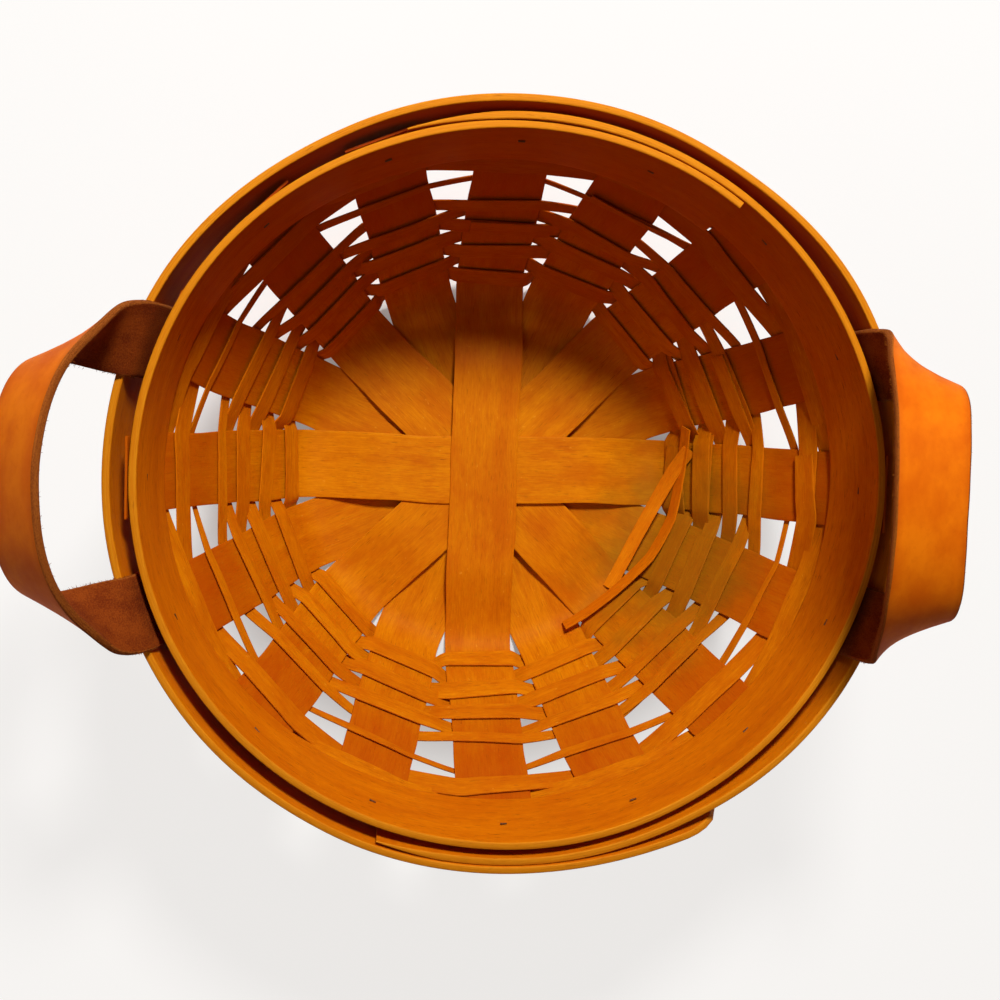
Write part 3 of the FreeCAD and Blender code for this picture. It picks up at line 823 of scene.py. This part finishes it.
# Unevenness of a hoop's edges and of its distance from the wall: longest wave and height
UPPER_EDGE_WAVE = (300, 0.45)
LOWER_EDGE_WAVE = (240, 0.5)
SWELL_WAVE = (330, 0.3)
SWELL_SHARE = 0.6
SWELL_EASE = 60.0
# Laps: turn of the move to the second layer, and for each hoop the first end and the length of the lap
LAP_EASE = 45.0
INNER_LAP_START = 109.0
INNER_LAP = 56.0
OUTER_LAP_START = -110.0
OUTER_LAP = 54.0
# Ends: how far the last end stands off and over what length, its round corners, and the first end's scarf
END_LIFT_LENGTH = 70.0
INNER_END_LIFT, OUTER_END_LIFT = -0.4, 4.5
OUTER_END_ROUND = 14.0
LEAST_ROUND_SHARE = 0.02
INNER_SCARF, OUTER_SCARF = 30.0, 22.0
SCARF_SHARE = 0.75
# How far the outer hoop closes up on the inner one away from the straps, and the turns where it does
RIM_SQUEEZE = 2.6
SQUEEZE_START = 28.0
SQUEEZE_EASE = 35.0


def away_from_straps(angle):
    """0 beside the straps, where the rim stands open, 1 where nothing holds the hoops apart."""
    turn = abs((angle + 90) % 180 - 90)
    return eased((turn - SQUEEZE_START) / SQUEEZE_EASE)


def lap_cover(turned, lap):
    """Share of a hoop's second layer at a place, given by its turn from the hoop's first end."""
    if turned <= lap:
        return 1.0
    return eased((turned - 360 + LAP_EASE) / LAP_EASE)


def make_hoop(name, height, outward, start, way, lap, layer, end_lift, end_round, scarf, squeeze):
    """A strip bent round the rim, whose second end laps over its first."""
    dice = random.Random(name)
    total = 360 + lap
    upper = wavy(dice, *UPPER_EDGE_WAVE)
    lower = wavy(dice, *LOWER_EDGE_WAVE)
    swell = wavy(dice, *SWELL_WAVE)
    count = math.ceil(total / HOOP_STATION_STEP)
    degree_length = math.radians(1) * MOUTH_RADIUS
    sin_lean, cos_lean = math.sin(math.radians(HOOP_LEAN)), math.cos(math.radians(HOOP_LEAN))
    stations = []
    for index in range(count + 1):
        turned = total * index / count
        along = turned * degree_length
        to_end = (total - turned) * degree_length
        angle = start + way * turned
        offset = outward + layer * eased((turned - 360 + LAP_EASE) / LAP_EASE)
        offset += end_lift * max(0.0, 1 - to_end / END_LIFT_LENGTH) ** 2
        offset -= squeeze * away_from_straps(angle)
        half_thickness = HOOP_THICKNESS / 2 * (1 - SCARF_SHARE * max(0.0, 1 - along / scarf))
        offset += swell(along) * eased(to_end / SWELL_EASE) * eased(along / SWELL_EASE) * SWELL_SHARE
        top = RIM_HEIGHT + upper(along)
        bottom = RIM_HEIGHT - height + lower(along)
        half_width = (top - bottom) / 2
        if end_round and to_end < end_round:
            half_width *= math.sqrt(max(LEAST_ROUND_SHARE, 1 - (1 - to_end / end_round) ** 2))
        middle = (top + bottom) / 2
        radius = hoop_radius(angle, middle) + offset + HOOP_THICKNESS / 2
        lean = radial(angle) * sin_lean + UP * cos_lean
        through = radial(angle) * cos_lean - UP * sin_lean
        centre = radial(angle) * radius + UP * middle
        stations.append(Station(centre, lean, through, half_width, half_thickness, along))
    strip = StripMesh(name + "_strip")
    strip.add(stations, dice.uniform(0, SEED_RANGE), HOOP_ROUNDING)
    strip.make([hoop_wood, hoop_edge_wood, hoop_wood], nodes=[name])


# Straps

TURN_STEPS = 36
END_STEPS = 8
STRAP_ROUNDING = 0.7
# How far below the top of the hoops a strap starts to bend over
BEND_RECESS = 1.0
# Unevenness of a strap's edges and course: longest wave and height
STRAP_EDGE_WAVE = (60, 0.125)
STRAP_SAG_WAVE = (120, 0.09)


class Handle:
    """One strap: -1 is the left side, +1 the right side."""

    def __init__(self, side, swing):
        self.out = Vector((side, 0, 0))
        self.swing = math.radians(swing)
        self.middle_angle = 0.0 if side > 0 else 180.0
        self.side = side
        self.leg_along = abs(self.grip_centre(1, RIM_HEIGHT).y)

    def leg_angle(self, leg):
        return self.middle_angle + leg * STRAP_LEG_ANGLE * self.side

    def grip_centre(self, leg, height):
        """Middle of a strap's end between the hoops, at one height."""
        angle = self.leg_angle(leg)
        outward = STRAP_FACE + STRAP_THICKNESS / 2
        return radial(angle) * (hoop_radius(angle, height) + outward) + UP * height

    def turned(self, vector):
        """A direction of the level loop (out, along, up), swung about the hinge line."""
        cos_swing, sin_swing = math.cos(self.swing), math.sin(self.swing)
        return (self.out * (vector.x * cos_swing - vector.z * sin_swing)
                + Vector((0, 1, 0)) * vector.y
                + UP * (vector.x * sin_swing + vector.z * cos_swing))

def loop_place(leg_along, share):
    """A place on the level loop's middle line (out, along, up), from the leg to the grip's middle."""
    turn = math.pi / 2 * min(1.0, max(0.0, share))
    return Vector((STRAP_LEG + LOOP_REACH * math.sin(turn) ** REACH_POWER,
                   leg_along * max(0.0, math.cos(turn)) ** SPAN_POWER,
                   LOOP_RISE * math.sin(turn) ** RISE_POWER))


def loop_frame(leg_along, share):
    """Place, heading, direction across and flesh side of the level loop, which twists on its way."""
    place = loop_place(leg_along, share)
    heading = loop_place(leg_along, share + SLOPE_SHARE) - loop_place(leg_along, share - SLOPE_SHARE)
    if share == 1:
        heading = Vector((0, -1, 0))
    heading.normalize()
    sideways = Vector((-heading.y, heading.x, 0)).normalized()
    upward = heading.cross(sideways)
    twist = math.radians(90 + GRIP_TILT) * eased(share / TWIST_END_SHARE) ** TWIST_POWER
    across = sideways * math.cos(twist) + upward * math.sin(twist)
    flesh = upward * math.cos(twist) - sideways * math.sin(twist)
    return place, heading, across, flesh


ROOT_STEPS = 12
ROOT_SHARE = 0.02
ROOT_FULLNESS = 1.15
STRAP_SMOOTHING_ROUNDS = 60
# Hairs on the cut edges, none of them on the first and last stations
FUZZ_PER_STRAP = 900
FUZZ_FREE_STATIONS = 10
FUZZ_DEPTH_SHARES = (-1.0, 0.3)
FUZZ_INSET = 0.2
FUZZ_REACH = (0.2, 1.0)
FUZZ_LEAN = (-0.8, 0.3)
FUZZ_SWIRL = 1.2
FUZZ_CURL_SHARE = 1.6
FUZZ_BREADTH = (0.05, 0.12)
# Where each strap would start and end bending with its handle, in metres
LEFT_BEND = ((-0.1235, 0, 0.119), (-0.134, 0, 0.1245))
RIGHT_BEND = ((0.1245, 0, 0.119), (0.1305, 0, 0.129))


def half_strap(handle, leg):
    """Stations' frames of half a strap, from its end between the hoops to the middle of the grip."""
    angle = handle.leg_angle(leg)
    tangent = around(angle) * handle.side * leg
    low = handle.grip_centre(leg, RIM_HEIGHT - STRAP_GRIP)
    top = handle.grip_centre(leg, RIM_HEIGHT - BEND_RECESS)
    inward = -radial(angle)
    frames = [(low.lerp(top, number / END_STEPS), tangent, inward) for number in range(END_STEPS)]
    mirrored = Vector((1, leg, 1))
    loop = []
    for number in range(TURN_STEPS + 1):
        share = ROOT_SHARE + (1 - ROOT_SHARE) * (number / TURN_STEPS) ** SECTION_POWER
        level_frame = loop_frame(handle.leg_along, share)
        loop.append([handle.turned(direction * mirrored) for direction in level_frame])
    hinge = handle.out * HINGE_OUT + UP * HINGE_HEIGHT
    first_place, heading_out, across_out, flesh_out = loop[0]
    first_place = hinge + first_place
    heading_low = (top - low).normalized()
    span = (first_place - top).length * ROOT_FULLNESS
    for number in range(ROOT_STEPS):
        share = number / ROOT_STEPS
        away = share * (1 - share) ** 2
        toward = share ** 2 * (share - 1)
        centre = top.lerp(first_place, eased(share)) + (heading_low * away + heading_out * toward) * span
        across = tangent.lerp(across_out, eased(share)).normalized()
        flesh = inward.lerp(flesh_out, eased(share)).normalized()
        frames.append((centre, across, flesh))
    return frames + [(hinge + place, across, flesh) for place, _, across, flesh in loop]


def relaxed(frames):
    """The frames of a strap with both of its edges smoothed."""
    half_width = STRAP_WIDTH / 2
    uppers = [centre + across * half_width for centre, across, _ in frames]
    lowers = [centre - across * half_width for centre, across, _ in frames]
    edges = [smoothed(edge, STRAP_SMOOTHING_ROUNDS) for edge in (uppers, lowers)]
    return [((upper + lower) / 2, (upper - lower).normalized(), flesh)
            for upper, lower, (_, _, flesh) in zip(*edges, frames)]


def add_fuzz(strip, stations, dice, seed):
    """Short hairs along both cut edges of a strap."""
    for _ in range(FUZZ_PER_STRAP):
        station = stations[dice.randrange(FUZZ_FREE_STATIONS, len(stations) - FUZZ_FREE_STATIONS)]
        border = dice.choice((-1, 1))
        depth = dice.uniform(*FUZZ_DEPTH_SHARES) * station.half_thickness
        edge = station.across * border * (station.half_width - FUZZ_INSET)
        root = station.centre + edge + station.through * depth
        reach = station.across * border * dice.uniform(*FUZZ_REACH)
        reach += station.through * dice.uniform(*FUZZ_LEAN)
        swirl = station.across.cross(station.through) * dice.uniform(-FUZZ_SWIRL, FUZZ_SWIRL)
        strip.fibre(root + swirl, root + swirl * FUZZ_CURL_SHARE + reach, dice.uniform(*FUZZ_BREADTH), seed)


def make_strap(name, side, swing, body, start, end):
    """One strap, from its end between the hoops over the grip to its other end."""
    dice = random.Random(name)
    handle = Handle(side, swing)
    frames = relaxed(half_strap(handle, 1) + half_strap(handle, -1)[-2::-1])
    edge = wavy(dice, *STRAP_EDGE_WAVE)
    sag = wavy(dice, *STRAP_SAG_WAVE)
    stations = []
    along = 0
    for number, (centre, across, flesh) in enumerate(frames):
        if number:
            along += (centre - frames[number - 1][0]).length
        before = frames[max(0, number - 1)][0]
        after = frames[min(len(frames) - 1, number + 1)][0]
        heading = (after - before).normalized()
        across = (across - heading * across.dot(heading)).normalized()
        through = heading.cross(across)
        if through.dot(flesh) > 0:
            through = -through
        centre = centre + through * sag(along)
        half_width = STRAP_WIDTH / 2 + edge(along)
        stations.append(Station(centre, across, through, half_width, STRAP_THICKNESS / 2, along))
    strip = StripMesh(name)
    seed = dice.uniform(0, SEED_RANGE)
    strip.add(stations, seed, STRAP_ROUNDING)
    add_fuzz(strip, stations, dice, seed)
    nodes = [name + "_ends", name + "_loop"]
    item = strip.make([strap_flesh, strap_edge, strap_grain], body=None, nodes=nodes)
    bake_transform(item)


# Tacks

TACK_STEPS = 4
TACK_LEAN = 0.5
# Bent points: start behind the shank, length, section, and how far they are pressed in
POINT_BACK = 0.4
POINT_LENGTH = 2.4
POINT_HALF_WIDTH = 0.5
POINT_HALF_THICKNESS = 0.3
POINT_TAPER_SHARE = 0.6
POINT_ROUNDING = 0.2
POINT_PRESS = 0.1
# Domed heads: height above their seat and radius of each section
HEAD_SECTIONS = ((0.0, 2.2), (0.35, 2.1), (0.7, 1.5), (1.0, 0.5))
HEAD_ROUNDING = 2.0
HEAD_SINK = 0.2


def make_tacks():
    """Low domed heads outside the rim and bent points pressed on the inside of the inner hoop."""
    strip = StripMesh("tack_points")
    dice = random.Random("tacks")
    height = RIM_HEIGHT - TACK_DROP
    for number in range(STAKE_COUNT):
        angle = number * STAKE_STEP
        inner = hoop_radius(angle, height) - POINT_PRESS
        inner -= lap_cover((INNER_LAP_START - angle) % 360, INNER_LAP) * LAYER_STEP
        lean = dice.uniform(-TACK_LEAN, TACK_LEAN)
        point = []
        for step in range(TACK_STEPS + 1):
            share = step / TACK_STEPS
            centre = radial(angle) * inner + UP * (height + lean * share)
            centre += around(angle) * (share * POINT_LENGTH - POINT_BACK)
            half_width = POINT_HALF_WIDTH * (1 - POINT_TAPER_SHARE * share)
            point.append(Station(centre, UP, radial(angle), half_width, POINT_HALF_THICKNESS, share))
        strip.add(point, number, POINT_ROUNDING)
        outer = hoop_radius(angle, height) + OUTER_HOOP_FACE + HOOP_THICKNESS - HEAD_SINK
        outer += lap_cover((angle - OUTER_LAP_START) % 360, OUTER_LAP) * LAYER_STEP
        outer -= RIM_SQUEEZE * away_from_straps(angle)
        head = []
        for rise, radius in HEAD_SECTIONS:
            centre = radial(angle) * (outer + rise) + UP * height
            head.append(Station(centre, UP, around(angle), radius, radius, rise))
        strip.add(head, number, HEAD_ROUNDING)
    strip.make([tack_iron] * 3, nodes=["rim_tacks"])


for level, (stake_name, stake_angle) in enumerate(STAKES):
    make_stake(stake_name, stake_angle, level)
for row in range(ROW_COUNT):
    make_weaver(row)
make_loose_ends()
make_hoop("inner_hoop", INNER_HOOP_HEIGHT, 0, INNER_LAP_START, -1, INNER_LAP, -LAYER_STEP,
          end_lift=INNER_END_LIFT, end_round=0, scarf=INNER_SCARF, squeeze=0)
make_hoop("outer_hoop", OUTER_HOOP_HEIGHT, OUTER_HOOP_FACE, OUTER_LAP_START, 1, OUTER_LAP, LAYER_STEP,
          end_lift=OUTER_END_LIFT, end_round=OUTER_END_ROUND, scarf=OUTER_SCARF, squeeze=RIM_SQUEEZE)
make_strap("left_strap", -1, LEFT_SWING, "left_handle", *LEFT_BEND)
make_strap("right_strap", 1, RIGHT_SWING, "right_handle", *RIGHT_BEND)
make_tacks()


# Camera of the photograph: turns in degrees about the object's X, Y and Z, and distances in millimetres
CAMERA_TURN_X, CAMERA_TURN_Y, CAMERA_TURN_Z = 4.16, 6.67, -1.37
CAMERA_OFFSET = Vector((7.42, -13.38, 634.0))
CAMERA_LENS = 54.0
CAMERA_SENSOR = 36.0
CAMERA_CLIP_START = 0.01


def make_camera():
    """The camera that stands where the photograph was taken."""
    turn = (Matrix.Rotation(math.radians(CAMERA_TURN_Z), 3, "Z")
            @ Matrix.Rotation(math.radians(CAMERA_TURN_Y), 3, "Y")
            @ Matrix.Rotation(math.radians(CAMERA_TURN_X), 3, "X")).transposed()
    data = bpy.data.cameras.new("camera")
    data.lens = CAMERA_LENS
    data.sensor_width = CAMERA_SENSOR
    data.clip_start = CAMERA_CLIP_START
    camera = add_object("camera", data)
    camera.matrix_world = Matrix.Translation(turn @ CAMERA_OFFSET * MM) @ turn.to_4x4()
    bpy.context.scene.camera = camera


# Floor of the stage, in metres: half its side, its drop below the object and the reach of the painted shade
# under it
FLOOR_HALF = 20.0
FLOOR_DROP = 0.0003
FLOOR_PAINTED_SHADE_REACH = (0.09, 0.15)
FLOOR_CORNERS = ((-1, -1), (1, -1), (1, 1), (-1, 1))
# How much of the floor's white is its own, what the painted shade under the object leaves of it, and what
# the lamps add far away
FLOOR_GLOW_SHARE = 0.8
FLOOR_PAINTED_SHADE_SHARE = 0.3
FLOOR_LAMP_SHARE = 0.02
FLOOR_COLOUR = (0.82, 0.81, 0.79, 1)
WHITE_COLOUR = (1, 0.985, 0.965, 1)
SKY_COLOUR = (1, 0.56, 0.4, 1)
SKY_STRENGTH = 0.09
# Round lamps: name, place and target in metres, diameter in metres, power in watts
LAMPS = [
    ("key", Vector((0.07, 0.73, 0.96)), Vector((0, 0, 0.05)), 0.22, 15.8),
    ("fill", Vector((-0.6, -0.5, 1.1)), Vector((0, 0, 0.08)), 0.8, 1.6),
]


def background_rays(shader):
    """1 for rays that show the background straight, in a reflection or through glass."""
    path = shader.node("ShaderNodeLightPath")
    seen = shader.math("MAXIMUM", path.outputs["Is Camera Ray"], path.outputs["Is Glossy Ray"])
    return shader.math("MAXIMUM", seen, path.outputs["Is Transmission Ray"])


def make_floor():
    """A white floor that runs into the background, with the object's shade on it and a painted shade that
    dims its glow under the object.
    """
    shader = Shader("floor")
    diffuse = shader.node("ShaderNodeBsdfDiffuse")
    shader.put(diffuse.inputs["Color"], FLOOR_COLOUR)
    glow = shader.node("ShaderNodeEmission")
    shader.put(glow.inputs["Color"], WHITE_COLOUR)
    blend = shader.node("ShaderNodeMixShader")
    # Painted shade: the floor's own glow fades out under the object
    from_centre = shader.node("ShaderNodeVectorMath", operation="LENGTH")
    shader.put(from_centre.inputs[0], shader.node("ShaderNodeTexCoord").outputs["Object"])
    clear = shader.ramp(from_centre.outputs["Value"], *FLOOR_PAINTED_SHADE_REACH)
    lit = shader.varied(FLOOR_PAINTED_SHADE_SHARE, clear, 1 - FLOOR_PAINTED_SHADE_SHARE)
    glow_share = shader.math("MULTIPLY", lit, FLOOR_GLOW_SHARE)
    shader.put(blend.inputs[0], shader.math("MULTIPLY", background_rays(shader), glow_share))
    shader.put(blend.inputs[1], diffuse.outputs[0])
    shader.put(blend.inputs[2], glow.outputs[0])
    shader.put(shader.output.inputs["Surface"], blend.outputs[0])
    mesh = bpy.data.meshes.new("floor")
    corners = [(x * FLOOR_HALF, y * FLOOR_HALF, -FLOOR_DROP) for x, y in FLOOR_CORNERS]
    mesh.from_pydata(corners, [], [(0, 1, 2, 3)])
    mesh.materials.append(shader.material)
    floor = add_object("floor", mesh)


def make_world():
    """A dim warm sky that the camera sees as white."""
    world = bpy.data.worlds.new("studio")
    world.use_nodes = True
    bpy.context.scene.world = world
    tree = world.node_tree
    tree.nodes.clear()
    path = tree.nodes.new("ShaderNodeLightPath")
    sky = tree.nodes.new("ShaderNodeBackground")
    sky.inputs["Color"].default_value = SKY_COLOUR
    sky.inputs["Strength"].default_value = SKY_STRENGTH
    white = tree.nodes.new("ShaderNodeBackground")
    blend = tree.nodes.new("ShaderNodeMixShader")
    output = tree.nodes.new("ShaderNodeOutputWorld")
    white.inputs["Color"].default_value = WHITE_COLOUR
    white.inputs["Strength"].default_value = FLOOR_GLOW_SHARE + FLOOR_LAMP_SHARE
    tree.links.new(path.outputs["Is Camera Ray"], blend.inputs[0])
    tree.links.new(sky.outputs[0], blend.inputs[1])
    tree.links.new(white.outputs[0], blend.inputs[2])
    tree.links.new(blend.outputs[0], output.inputs["Surface"])


def make_lamp(name, place, target, extent, power):
    data = bpy.data.lights.new(name, "AREA")
    data.shape = "DISK"
    data.size = extent
    data.energy = power
    lamp = add_object(name, data)
    lamp.location = place
    lamp.rotation_euler = (target - place).to_track_quat("-Z", "Y").to_euler()


make_camera()
make_floor()
make_world()
for lamp in LAMPS:
    make_lamp(*lamp)

bpy.context.scene.view_settings.view_transform = "Standard"
